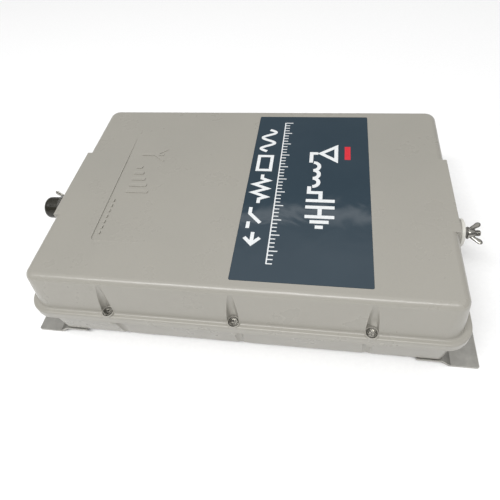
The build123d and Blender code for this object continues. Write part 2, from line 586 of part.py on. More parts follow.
# ---------------------------------------------------------------- relays
relays = []
for k in range(7):
    for sy in (-1, 1):
        x = -34.0 + 23.5 * k
        y = sy * 68.5
        can = block(x - 9.0, x + 9.0, y - 6.0, y + 6.0, BOARD_TOP, BOARD_TOP + 15.0)
        relays.append(one(fillet(can.edges().group_by(Axis.Z)[-1], 0.7)))
export("switching_relays", *relays)

# ---------------------------------------------------------------- ring-core inductors
cores = []
windings = []
for k in range(4):
    x = -32.0 + 41.0 * k
    y = 37.5
    z0 = BOARD_TOP + 1.5
    core = z_ring(17.0, 10.0, z0, z0 + 11.0, x, y)
    core = fillet(core.edges().filter_by(GeomType.CIRCLE), 0.8)
    cores.append(one(core))
    wrap = z_ring(18.5, 8.5, BOARD_TOP, z0 + 12.5, x, y) - z_ring(17.0, 10.0, z0, z0 + 11.0, x, y)
    gap = Pos(x, y, BOARD_TOP - 1) * extrude(Polygon((0, 0), (40, -11), (40, 11), align=None), 30)
    wrap = wrap - gap
    windings.append(one(wrap))
export("inductor_cores", *cores)
export("inductor_windings", *windings)

# ---------------------------------------------------------------- air-spaced coils
formers = []
coils = []
COIL_Z = BOARD_TOP + 19.0
COIL_Y = -20.0
for x0 in (-44.0, 18.0):
    x1 = x0 + 54.0
    former = x_ring(13.5, 11.5, x0, x1, COIL_Y, COIL_Z)
    for cheek in (x0, x1 - 3.0):
        plate = block(cheek, cheek + 3.0, COIL_Y - 18.5, COIL_Y + 18.5, BOARD_TOP, COIL_Z + 18.0)
        plate = fillet(plate.edges().filter_by(Axis.X).group_by(Axis.Z)[-1], 6.0)
        former = former + (plate - x_rod(11.5, cheek - 1, cheek + 4, COIL_Y, COIL_Z))
    formers.append(one(former))
    coils.append(one(x_ring(15.5, 13.5, x0 + 5.0, x1 - 5.0, COIL_Y, COIL_Z)))
export("coil_formers", *formers)
export("coil_windings", *coils)

# ---------------------------------------------------------------- capacitors
pots = []
for x, y in ((90.0, -8.0), (112.0, -8.0), (90.0, -31.0), (112.0, -31.0), (134.0, -8.0)):
    pot = z_rod(8.6, BOARD_TOP + 2.0, BOARD_TOP + 15.0, x, y)
    pot = fillet(pot.edges().filter_by(GeomType.CIRCLE), 1.6)
    pot = pot + z_rod(3.0, BOARD_TOP, BOARD_TOP + 18.0, x, y)
    pots.append(one(pot))
export("high_voltage_capacitors", *pots)

cans = []
for x, y in ((-80.0, -62.0), (-80.0, -48.0), (-94.0, -62.0)):
    can = z_rod(5.0, BOARD_TOP, BOARD_TOP + 16.0, x, y)
    can = fillet(can.edges().group_by(Axis.Z)[-1], 0.7)
    cans.append(one(can))
export("smoothing_capacitors", *cans)

# ---------------------------------------------------------------- matching transformer
tx, ty = 134.0, 37.0
core = block(tx - 15, tx + 15, ty - 13, ty + 13, BOARD_TOP, BOARD_TOP + 24)
core = core - block(tx - 10, tx - 4.5, ty - 14, ty + 14, BOARD_TOP + 4, BOARD_TOP + 20)
core = core - block(tx + 4.5, tx + 10, ty - 14, ty + 14, BOARD_TOP + 4, BOARD_TOP + 20)
export("transformer_core", one(core))
wound = block(tx - 9.5, tx + 9.5, ty - 17.5, ty + 17.5, BOARD_TOP + 4.5, BOARD_TOP + 19.5)
wound = fillet(wound.edges().filter_by(Axis.Z), 2.5)
wound = wound - block(tx - 4.5, tx + 4.5, ty - 13, ty + 13, BOARD_TOP, BOARD_TOP + 24)
export("transformer_winding", one(wound))

# ---------------------------------------------------------------- detector screen and surge arrester
can = block(-48.0, -18.0, -58.5, -42.0, BOARD_TOP, BOARD_TOP + 9.0)
can = fillet(can.edges().filter_by(Axis.Z), 1.5)
can = can - block(-47.5, -18.5, -58.0, -42.5, BOARD_TOP - 1, BOARD_TOP + 8.5)
for k in range(4):
    can = can - z_rod(1.2, BOARD_TOP + 8, BOARD_TOP + 10, -42.0 + 6.0 * k, -50.2)
export("detector_screen", one(can))
arrester = x_rod(5.0, 122.0, 134.0, -45.0, BOARD_TOP + 8.0)
arrester = fillet(arrester.edges().filter_by(GeomType.CIRCLE), 0.8)
for x0 in (119.5, 134.0):
    arrester = arrester + block(x0, x0 + 2.5, -48.0, -42.0, BOARD_TOP, BOARD_TOP + 11.0)
export("surge_arrester", one(arrester))

# ---------------------------------------------------------------- control board parts
chips = [block(-112.0, -98.0, -20.0, -6.0, BOARD_TOP, BOARD_TOP + 2.0),
         block(-90.0, -80.0, -24.0, -18.0, BOARD_TOP, BOARD_TOP + 1.6),
         block(-90.0, -80.0, -12.0, -6.0, BOARD_TOP, BOARD_TOP + 1.6),
         block(-112.0, -104.0, 4.0, 9.0, BOARD_TOP, BOARD_TOP + 1.6),
         block(-92.0, -80.0, 4.0, 9.0, BOARD_TOP, BOARD_TOP + 3.5)]
export("control_chips", *[one(c) for c in chips])

strip_x = -124.0
terminal = block(strip_x - 6, strip_x + 6, -70.0, -22.0, BOARD_TOP, BOARD_TOP + 13.0)
terminal = chamfer(terminal.edges().filter_by(Axis.Y).group_by(Axis.Z)[-1].sort_by(Axis.X)[0], 3.0)
for k in range(6):
    cy = -66.0 + 8.0 * k
    terminal = terminal - block(strip_x - 7, strip_x + 1, cy - 2.6, cy + 2.6, BOARD_TOP + 2.5, BOARD_TOP + 7.5)
    sink = z_rod(2.4, BOARD_TOP + 9.5, BOARD_TOP + 14, strip_x + 1.6, cy)
    driver_slot = block(strip_x - 0.4, strip_x + 3.6, cy - 0.4, cy + 0.4, BOARD_TOP + 8.6, BOARD_TOP + 10)
    terminal = terminal - sink - driver_slot
export("control_terminal_block", one(terminal))

clips = []
for y0 in (-40.0, -21.0):
    clip = block(-76.0, -70.0, y0, y0 + 4.0, BOARD_TOP, BOARD_TOP + 7.5)
    clips.append(one(clip - Pos(-73, y0 + 2, BOARD_TOP + 5.0) * Rot(90, 0, 0) * Cylinder(2.6, 10)))
export("fuse_clips", *clips)
fuse = Pos(-73, -28.5, BOARD_TOP + 5.0) * Rot(90, 0, 0) * Cylinder(2.55, 23.5)
export("fuse_link", one(fillet(fuse.edges().filter_by(GeomType.CIRCLE), 0.4)))

# ---------------------------------------------------------------- coaxial socket
SOCKET_R = 7.9
SOCKET_BORE_R = 5.9
flange_plate = block(SOCKET_X - 2, SOCKET_X, SOCKET_Y - 12.5, SOCKET_Y + 12.5, SOCKET_Z - 12.5, SOCKET_Z + 12.5)
flange_plate = fillet(flange_plate.edges().filter_by(Axis.X), 2.0)
shell = flange_plate + x_rod(SOCKET_R, SOCKET_X - 20.5, SOCKET_X + 8.5, SOCKET_Y, SOCKET_Z)
shell = shell - x_rod(SOCKET_BORE_R, SOCKET_X - 21, SOCKET_X + 9, SOCKET_Y, SOCKET_Z)
export("coax_socket", one(shell))
export("coax_dielectric", one(x_ring(SOCKET_BORE_R, 2.0, SOCKET_X - 15.5, SOCKET_X + 8.5, SOCKET_Y, SOCKET_Z)))

# ---------------------------------------------------------------- contacts that part when the cover lifts
fork = block(152.5, 159.5, ay - 5.0, ay + 5.0, BOARD_TOP, BOARD_TOP + 5.0)
for lean in (-1, 1):
    x_in = 156.0 + lean * (0.5 + RUN)
    x_out = x_in + lean * 0.8
    fork = fork + block(min(x_in, x_out), max(x_in, x_out), ay - 4.5, ay + 4.5, BOARD_TOP + 5.0, 54.0)
export("antenna_fork_contact", one(fork))

earth = block(-146.0, -132.0, gy - 6.0, gy + 6.0, CHASSIS_TOP, CHASSIS_TOP + 1.5)
earth = earth + block(-147.5, -146.0, gy - 6.0, gy + 6.0, CHASSIS_TOP, 38.0)
earth = earth + block(-163.0, -147.5, gy - 5.0, gy + 5.0, 35.0, 38.0)
for lean in (-1, 1):
    x_in = -159.0 + lean * (0.5 + RUN)
    x_out = x_in + lean * 0.8
    earth = earth + block(min(x_in, x_out), max(x_in, x_out), gy - 4.5, gy + 4.5, 38.0, 51.0)
export("ground_fork_contact", one(earth))

# ---------------------------------------------------------------- cable clamp on the chassis
bridge = block(-145.0, -137.0, -78.0, -26.0, CHASSIS_TOP + 12.0, CHASSIS_TOP + 15.0)
for cy in (-73.0, -31.0):
    bridge = bridge + block(-145.0, -137.0, cy - 4.0, cy + 4.0, CHASSIS_TOP, CHASSIS_TOP + 12.5)
    bridge = bridge - z_rod(1.6, CHASSIS_TOP - 1, CHASSIS_TOP + 20, -141.0, cy)
    small_screws.append(pan_screw(-141.0, cy, CHASSIS_TOP + 15.0, 14.5))
export("cable_clamp", one(bridge))
export("small_screws", *small_screws)
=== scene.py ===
import bpy
import bmesh
import random
from math import cos, hypot, pi, radians, sin
from mathutils import Matrix, Vector


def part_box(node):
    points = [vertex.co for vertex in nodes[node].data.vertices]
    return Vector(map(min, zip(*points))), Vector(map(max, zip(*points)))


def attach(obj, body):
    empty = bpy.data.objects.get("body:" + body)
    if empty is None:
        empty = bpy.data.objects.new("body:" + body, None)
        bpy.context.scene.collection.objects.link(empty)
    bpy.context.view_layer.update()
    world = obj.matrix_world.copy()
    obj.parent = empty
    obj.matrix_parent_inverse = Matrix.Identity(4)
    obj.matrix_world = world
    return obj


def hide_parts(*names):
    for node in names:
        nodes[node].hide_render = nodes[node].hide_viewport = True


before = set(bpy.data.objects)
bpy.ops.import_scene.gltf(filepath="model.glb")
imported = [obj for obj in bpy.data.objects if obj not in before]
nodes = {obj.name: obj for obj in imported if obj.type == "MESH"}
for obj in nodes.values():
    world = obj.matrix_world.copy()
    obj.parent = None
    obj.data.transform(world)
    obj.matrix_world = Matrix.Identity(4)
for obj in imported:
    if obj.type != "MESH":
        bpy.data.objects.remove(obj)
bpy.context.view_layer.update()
MM = 0.001


# ------------------------------------------------------------------ camera
def make_camera():
    """The camera of the photograph: its lens, its axes in the frame and its place."""
    data = bpy.data.cameras.new("camera")
    data.sensor_width = 36.0
    data.lens = 32.353
    data.shift_x, data.shift_y = -0.0021, -0.0627
    data.clip_start, data.clip_end = 0.01, 100.0
    cam = bpy.data.objects.new("camera", data)
    bpy.context.scene.collection.objects.link(cam)
    right = Vector((0.985802, 0.138331, -0.095175))
    down = Vector((0.042478, -0.753837, -0.655687))
    ahead = Vector((-0.162448, 0.642335, -0.74901))
    place = Vector((0.0669, -0.2772, 0.3700))
    turn = Matrix((right, -down, -ahead)).transposed().to_4x4()
    cam.matrix_world = Matrix.Translation(place) @ turn
    bpy.context.scene.camera = cam


make_camera()


# ------------------------------------------------------------------ studio
def area_light(name, where, target, wide, tall, power):
    data = bpy.data.lights.new(name, "AREA")
    data.shape = "RECTANGLE"
    data.size = wide
    data.size_y = tall
    data.energy = power
    lamp = bpy.data.objects.new(name, data)
    bpy.context.scene.collection.objects.link(lamp)
    lamp.location = where
    way = Vector(target) - Vector(where)
    lamp.rotation_euler = way.to_track_quat("-Z", "Y").to_euler()


# Height of a sky direction (0 level, 1 straight up) and how bright it is there. The
# narrow bright band is what the glossy label mirrors across its middle.
SKY_TOP = 3.0
SKY_STEPS = [(0.00, 0.44), (0.22, 0.36), (0.38, 0.32), (0.732, 0.32),
             (0.747, 2.00), (0.760, 0.55), (0.80, 0.90), (1.0, 0.90)]


def make_world():
    world = bpy.data.worlds.new("studio")
    bpy.context.scene.world = world
    world.use_nodes = True
    tree = world.node_tree
    tree.nodes.clear()
    out = tree.nodes.new("ShaderNodeOutputWorld")
    back = tree.nodes.new("ShaderNodeBackground")
    coord = tree.nodes.new("ShaderNodeTexCoord")
    split = tree.nodes.new("ShaderNodeSeparateXYZ")
    ramp = tree.nodes.new("ShaderNodeValToRGB")
    tree.links.new(coord.outputs["Generated"], split.inputs[0])
    tree.links.new(split.outputs["Z"], ramp.inputs[0])
    tree.links.new(ramp.outputs[0], back.inputs[0])
    tree.links.new(back.outputs[0], out.inputs[0])
    line = ramp.color_ramp
    while len(line.elements) < len(SKY_STEPS):
        line.elements.new(0.5)
    for stop, (height, level) in zip(line.elements, SKY_STEPS):
        stop.position = height
        grey = level / SKY_TOP
        stop.color = (grey, grey, grey, 1)
    back.inputs[1].default_value = SKY_TOP


make_world()
area_light("front", (-0.25, -0.95, 1.95), (0, 0, 0.05), wide=2.0, tall=0.30, power=38)
bpy.context.scene.view_settings.view_transform = "Standard"
bpy.context.scene.view_settings.look = "None"


# ------------------------------------------------------------------ materials
class Build:
    """A material made of nodes on object coordinates, in metres."""

    def __init__(self, name):
        self.mat = bpy.data.materials.new(name)
        self.mat.use_nodes = True
        self.tree = self.mat.node_tree
        self.tree.nodes.clear()
        self.out = self.node("OutputMaterial")
        self.bsdf = self.node("BsdfPrincipled")
        self.link(self.bsdf, 0, self.out, 0)
        self.where = self.node("TexCoord")
        self.bumps = None

    def node(self, kind, **facts):
        made = self.tree.nodes.new("ShaderNode" + kind)
        for key, value in facts.items():
            setattr(made, key, value)
        return made

    def link(self, a, i, b, j):
        self.tree.links.new(a.outputs[i], b.inputs[j])

    def put(self, **values):
        for key, value in values.items():
            self.bsdf.inputs[key.replace("_", " ")].default_value = value

    def stretch(self, scale):
        mapping = self.node("Mapping")
        mapping.inputs["Scale"].default_value = scale
        self.link(self.where, "Object", mapping, 0)
        return mapping

    def noise(self, scale, detail, rough, squeeze=None, distort=0.0):
        made = self.node("TexNoise")
        made.inputs["Scale"].default_value = scale
        made.inputs["Detail"].default_value = detail
        made.inputs["Roughness"].default_value = rough
        made.inputs["Distortion"].default_value = distort
        if squeeze:
            self.link(self.stretch(squeeze), 0, made, "Vector")
        else:
            self.link(self.where, "Object", made, "Vector")
        return made

    def ramp(self, source, stops, output=0):
        """Turns one output of a node into the colours or values at its (place, colour) stops."""
        made = self.node("ValToRGB")
        self.link(source, output, made, 0)
        line = made.color_ramp
        while len(line.elements) < len(stops):
            line.elements.new(0.5)
        for element, (place, colour) in zip(line.elements, stops):
            element.position = place
            if not hasattr(colour, "__len__"):
                colour = (colour, colour, colour)
            element.color = (*colour, 1)
        return made

    def mix(self, share, a, b, kind="MIX"):
        """Mixes two colours, each a node or a plain colour; share is a node or a number."""
        made = self.node("MixRGB", blend_type=kind)
        if isinstance(share, (int, float)):
            made.inputs[0].default_value = share
        else:
            self.link(share, 0, made, 0)
        for slot, side in ((1, a), (2, b)):
            if isinstance(side, tuple):
                made.inputs[slot].default_value = (*side, 1)
            else:
                self.link(side, 0, made, slot)
        return made

    def bump(self, source, height, strength):
        """Adds relief; height is in metres."""
        made = self.node("Bump")
        made.inputs["Strength"].default_value = strength
        made.inputs["Distance"].default_value = height
        self.link(source, 0, made, "Height")
        if self.bumps:
            self.link(self.bumps, 0, made, "Normal")
        self.bumps = made
        self.link(made, 0, self.bsdf, "Normal")

    def edges(self, radius):
        """Bright along outer edges, for worn edges and painted edge highlights: how far a rounded normal
        leaves the true one.
        """
        soft = self.node("Bevel", samples=4)
        soft.inputs[0].default_value = radius
        true = self.node("NewGeometry")
        dot = self.node("VectorMath", operation="DOT_PRODUCT")
        self.link(soft, 0, dot, 0)
        self.link(true, "Normal", dot, 1)
        less = self.node("Math", operation="SUBTRACT")
        less.inputs[0].default_value = 1.0
        self.link(dot, "Value", less, 1)
        return self.ramp(less, [(0.012, 0.0), (0.35, 1.0)])

    def crevice(self, reach, low, high):
        """Painted shade: dark where other surfaces crowd in closer than reach."""
        made = self.node("AmbientOcclusion", samples=6)
        made.inputs["Distance"].default_value = reach
        return self.ramp(made, [(low, 0.0), (high, 1.0)], "AO")

    def colour(self, source):
        self.link(source, 0, self.bsdf, "Base Color")

    def rough(self, low, high, scale, squeeze=None, detail=4.0):
        """Uneven roughness between two values."""
        grain = self.noise(scale, detail, 0.6, squeeze)
        self.link(self.ramp(grain, [(0.3, low), (0.7, high)]), 0, self.bsdf, "Roughness")


def moulded_case():
    """Warm grey moulding: faint clouds and specks, painted shade in the corners, paler worn edges."""
    m = Build("moulded_case")
    clouds = m.noise(5.0, 3.0, 0.6)
    base = m.ramp(clouds, [(0.30, (0.306, 0.295, 0.262)), (0.50, (0.319, 0.306, 0.271)),
                              (0.72, (0.330, 0.316, 0.280))])
    fine = m.noise(800.0, 3.0, 0.65)
    speck = m.ramp(fine, [(0.30, 0.975), (0.55, 1.0)])
    tinted = m.mix(1.0, base, speck, "MULTIPLY")
    # painted shade: the colour darkens where the case's own surfaces crowd in closer than 0.9 mm
    crevice_shade = m.crevice(0.0009, 0.30, 0.90)
    crevice_shaded = m.mix(crevice_shade, (0.215, 0.205, 0.178), tinted)
    worn = m.edges(0.0010)
    rubbed = m.mix(worn, crevice_shaded, (0.430, 0.414, 0.370))
    m.colour(rubbed)
    m.rough(0.25, 0.35, 30.0)
    m.put(Specular_IOR_Level=0.5)
    waves = m.noise(14.0, 2.0, 0.5)
    m.bump(waves, 0.0006, 0.30)
    skin = m.noise(1500.0, 2.0, 0.5)
    m.bump(skin, 0.00003, 0.25)
    return m.mat


def metal(name, colour, low, high, grain=None, dark=(0.12, 0.12, 0.12), edge_wear_and_highlight=0.0):
    """Metal with a roughness from low to high, brushed along an axis if it has a grain.

    dark is the colour of the painted shade in its corners, and the last argument the radius of its bright
    edges, which are part wear and part painted highlight.
    """
    m = Build(name)
    relief = 0.00002
    blotch = m.noise(120.0, 4.0, 0.6)
    shade = m.ramp(blotch, [(0.3, tuple(c * 0.80 for c in colour)), (0.7, colour)])
    # painted shade: darker in the corners, towards the dark colour
    crevice_shade = m.crevice(0.0016, 0.15, 0.85)
    crevice_darkened = m.mix(crevice_shade, dark, shade)
    # bright edges: part real wear, part painted highlight
    if edge_wear_and_highlight:
        m.colour(m.mix(m.edges(edge_wear_and_highlight), crevice_darkened, tuple(min(1, c * 1.7) for c in colour)))
    else:
        m.colour(crevice_darkened)
    m.put(Metallic=1.0)
    if grain:
        m.rough(low, high, 400.0, grain, 5.0)
        lines = m.noise(700.0, 4.0, 0.6, grain)
        m.bump(lines, relief, 0.5)
    else:
        m.rough(low, high, 260.0)
        pits = m.noise(1400.0, 3.0, 0.6)
        m.bump(pits, relief, 0.4)
    return m.mat


def plastic(name, colour, low, high, relief=0.00003, spread=0.12, worn=None):
    """Plastic, rubber or ceramic with a roughness from low to high and a skin of fine relief.

    spread is how far the colour drifts each way, and worn the colour of its edges.
    """
    m = Build(name)
    clouds = m.noise(90.0, 4.0, 0.6)
    pale = tuple(min(1.0, c * (1 + spread)) for c in colour)
    deep = tuple(c * (1 - spread) for c in colour)
    base = m.ramp(clouds, [(0.3, deep), (0.7, pale)])
    # painted shade: darker where other surfaces crowd in
    crevice_shade = m.crevice(0.002, 0.2, 0.9)
    crevice_shaded = m.mix(crevice_shade, tuple(c * 0.55 for c in colour), base)
    if worn:
        m.colour(m.mix(m.edges(0.0004), crevice_shaded, worn))
    else:
        m.colour(crevice_shaded)
    m.rough(low, high, 140.0)
    m.put(Specular_IOR_Level=0.45)
    skin = m.noise(900.0, 3.0, 0.6)
    m.bump(skin, relief, 0.5)
    return m.mat


def label_material():
    """Glossy dark film that sags a little, with specks of dust."""
    m = Build("printed_film")
    clouds = m.noise(22.0, 3.0, 0.6)
    base = m.ramp(clouds, [(0.3, (0.0200, 0.0380, 0.0540)), (0.7, (0.0235, 0.0425, 0.0590))])
    dust = m.noise(1400.0, 2.0, 0.5)
    flecks = m.ramp(dust, [(0.66, 0.0), (0.78, 0.35)])
    m.colour(m.mix(flecks, base, (0.06, 0.075, 0.09)))
    m.rough(0.03, 0.06, 45.0)
    m.put(Specular_IOR_Level=0.5)
    sag = m.noise(30.0, 2.0, 0.5, distort=0.6)
    m.bump(sag, 0.0011, 0.22)
    skin = m.noise(700.0, 2.0, 0.5)
    m.bump(skin, 0.00001, 0.35)
    return m.mat


def ink(name, colour):
    """Printed ink, a little thin in places."""
    m = Build(name)
    patch = m.noise(500.0, 3.0, 0.6)
    base = m.ramp(patch, [(0.32, tuple(c * 0.9 for c in colour)), (0.6, colour)])
    m.colour(base)
    m.rough(0.25, 0.38, 300.0)
    m.bump(m.noise(2000.0, 2.0, 0.5), 0.000008, 0.4)
    return m.mat


MATERIALS = {
    "case_plastic": moulded_case(),
    "label_film": label_material(),
    "seal_rubber": plastic("seal_rubber", (0.020, 0.020, 0.019), 0.62, 0.80, 0.00005),
    "stainless_steel": metal("stainless_steel", (0.36, 0.35, 0.32), 0.17, 0.30, edge_wear_and_highlight=0.0003),
    # strip_steel's bright cut edges are a painted reflection of the pale floor
    "strip_steel": metal("strip_steel", (0.44, 0.43, 0.40), 0.34, 0.50, grain=(1, 0.06, 1), edge_wear_and_highlight=0.0006),
    "brass_parts": metal("brass_parts", (0.72, 0.50, 0.20), 0.24, 0.40, dark=(0.14, 0.09, 0.03)),
    "insulator": plastic("insulator", (0.62, 0.61, 0.56), 0.30, 0.42, 0.00002, 0.05),
    "blue_ceramic": plastic("blue_ceramic", (0.035, 0.11, 0.33), 0.22, 0.34, 0.00004, 0.12),
    "gland_nylon": plastic("gland_nylon", (0.016, 0.0145, 0.0085), 0.20, 0.32, 0.00003, 0.2,
                           worn=(0.06, 0.056, 0.046)),
    "chassis_aluminium": metal("chassis_aluminium", (0.76, 0.76, 0.75), 0.36, 0.50, grain=(0.05, 1, 1)),
    "board_laminate": plastic("board_laminate", (0.012, 0.085, 0.034), 0.28, 0.40, 0.00003, 0.2),
    "relay_case": plastic("relay_case", (0.42, 0.33, 0.13), 0.28, 0.38, 0.00003, 0.06),
    "chip_plastic": plastic("chip_plastic", (0.022, 0.022, 0.023), 0.45, 0.60, 0.00003),
    "terminal_plastic": plastic("terminal_plastic", (0.025, 0.16, 0.06), 0.38, 0.5, 0.00003),
    "core_ferrite": plastic("core_ferrite", (0.30, 0.06, 0.035), 0.42, 0.55, 0.00004),
    "copper_wire": metal("copper_wire", (0.78, 0.33, 0.16), 0.16, 0.30, dark=(0.12, 0.04, 0.02)),
    "capacitor_sleeve": plastic("capacitor_sleeve", (0.02, 0.022, 0.045), 0.25, 0.35, 0.00002),
    "tin_plate": metal("tin_plate", (0.72, 0.71, 0.68), 0.26, 0.42),
    "fuse_glass": plastic("fuse_glass", (0.55, 0.60, 0.58), 0.08, 0.16, 0.00001, 0.05),
}
# The CAD nodes that stay in view come with materials named after their slots.
for node in nodes.values():
    for place in node.material_slots:
        slot = place.material.name.split(".")[0] if place.material else None
        if slot in MATERIALS:
            place.material = MATERIALS[slot]


INKS = {"white": ink("white_ink", (0.74, 0.76, 0.77)), "red": ink("red_ink", (0.62, 0.020, 0.035))}


# ------------------------------------------------------------------ mesh pieces
class Shape:
    """Closed forms gathered into one mesh; all sizes in metres."""

    MITRE_STOP = 0.4    # a strip's corner grows no wider than its width over this

    def __init__(self):
        self.verts = []
        self.faces = []

    def add(self, verts, faces):
        start = len(self.verts)
        self.verts += [tuple(v) for v in verts]
        self.faces += [tuple(start + i for i in face) for face in faces]

    def rings(self, stations, closed=False):
        """Skins a row of rings that have the same number of points."""
        sides = len(stations[0])
        verts = [p for ring in stations for p in ring]
        count = len(stations)
        faces = []
        for k in range(count if closed else count - 1):
            for j in range(sides):
                here, there = k * sides, (k + 1) % count * sides
                faces.append((here + j, here + (j + 1) % sides, there + (j + 1) % sides, there + j))
        if not closed:
            faces.append(tuple(range(sides))[::-1])
            faces.append(tuple((count - 1) * sides + j for j in range(sides)))
        self.add(verts, faces)

    def lathe(self, profile, at, axis="Z", sides=32, closed=False):
        """Turns (along, radius) pairs about an axis through a point."""
        stations = []
        for along, r in profile:
            ring = []
            for j in range(sides):
                a = 2 * pi * j / sides
                u, v = r * cos(a), r * sin(a)
                place = {"X": (along, u, v), "Y": (v, along, u), "Z": (u, v, along)}[axis]
                ring.append(tuple(p + q for p, q in zip(at, place)))
            stations.append(ring)
        self.rings(stations, closed)

    def ribbon(self, path, width, z0, z1, closed=False):
        """A flat strip of one width along a path in the XY plane."""
        stations = []
        count = len(path)
        for k, (x, y) in enumerate(path):
            before = path[(k - 1) % count] if closed or k else None
            after = path[(k + 1) % count] if closed or k < count - 1 else None
            ways = []
            for p, q in ((before, (x, y)), ((x, y), after)):
                if p and q:
                    run = hypot(q[0] - p[0], q[1] - p[1])
                    ways.append(((q[0] - p[0]) / run, (q[1] - p[1]) / run))
            tx, ty = sum(w[0] for w in ways), sum(w[1] for w in ways)
            long = hypot(tx, ty)
            nx, ny = -ty / long, tx / long
            lean = max(self.MITRE_STOP, abs(nx * -ways[0][1] + ny * ways[0][0]))
            h = width / 2 / lean
            left, right = (x + nx * h, y + ny * h), (x - nx * h, y - ny * h)
            stations.append([(*left, z1), (*right, z1), (*right, z0), (*left, z0)])
        self.rings(stations, closed)

    def tube(self, path, r, sides=8):
        """A round wire along points in space."""
        stations = []
        side = None
        for k, p in enumerate(path):
            way = (Vector(path[min(k + 1, len(path) - 1)]) - Vector(path[max(k - 1, 0)])).normalized()
            if side is None:
                side = way.orthogonal().normalized()
            side = (side - way * side.dot(way)).normalized()
            up = way.cross(side)
            ring = []
            for j in range(sides):
                a = 2 * pi * j / sides
                ring.append(tuple(Vector(p) + side * (r * cos(a)) + up * (r * sin(a))))
            stations.append(ring)
        self.rings(stations)

    def box(self, low, high, cut):
        """A block whose four upright edges and upper rim are cut back a little."""
        x0, y0, z0 = low
        x1, y1, z1 = high
        stations = []
        for z, inset in ((z0, 0.0), (z1 - cut, 0.0), (z1, cut * 0.7)):
            a, b, c, d = x0 + inset, x1 - inset, y0 + inset, y1 - inset
            stations.append([(a + cut, c, z), (b - cut, c, z), (b, c + cut, z), (b, d - cut, z),
                             (b - cut, d, z), (a + cut, d, z), (a, d - cut, z), (a, c + cut, z)])
        self.rings(stations)

    def make(self, name, slot, body, material=None, hides=(), sharp=40.0):
        mesh = bpy.data.meshes.new(name)
        mesh.from_pydata(self.verts, [], self.faces)
        settle(mesh, name, slot, body, material, hides, sharp)


def settle(mesh, name, slot, body, material=None, hides=(), sharp=40.0):
    """Gives a finished mesh its normals, material and body; slot picks the material when none is given."""
    work = bmesh.new()
    work.from_mesh(mesh)
    bmesh.ops.recalc_face_normals(work, faces=work.faces)
    for face in work.faces:
        face.smooth = True
    for edge in work.edges:
        edge.smooth = len(edge.link_faces) == 2 and edge.calc_face_angle(0) < radians(sharp)
    work.to_mesh(mesh)
    work.free()
    mesh.materials.append(material or MATERIALS[slot])
    made = bpy.data.objects.new(name, mesh)
    bpy.context.scene.collection.objects.link(made)
    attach(made, body)
    for node in hides:
        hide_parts(node)


def solids(node):
    """Lowest and highest corner of each separate solid of a CAD node, in order along X."""
    mesh = nodes[node].data
    keys = [tuple(round(c, 6) for c in v.co) for v in mesh.vertices]
    parent = {k: k for k in keys}

    def root(k):
        while parent[k] != k:
            parent[k] = parent[parent[k]]
            k = parent[k]
        return k

    for a, b in (e.vertices for e in mesh.edges):
        parent[root(keys[a])] = root(keys[b])
    groups = {}
    for k in keys:
        groups.setdefault(root(k), []).append(k)
    found = []
    for points in groups.values():
        low = tuple(min(p[i] for p in points) for i in range(3))
        high = tuple(max(p[i] for p in points) for i in range(3))
        found.append((low, high))
    return sorted(found)


def centre(box):
    """Middle of a (low, high) box."""
    return tuple((a + b) / 2 for a, b in zip(*box))


def rectangle(a, b, c, d):
    """Corners of a rectangle from a to b along X and from c to d along Y."""
    return [(a, c), (b, c), (b, d), (a, d)]


def arc(cx, cy, r, a0, a1, steps=14):
    """Points along an arc; angles in degrees."""
    angles = [radians(a0 + (a1 - a0) * k / steps) for k in range(steps + 1)]
    return [(cx + r * cos(a), cy + r * sin(a)) for a in angles]


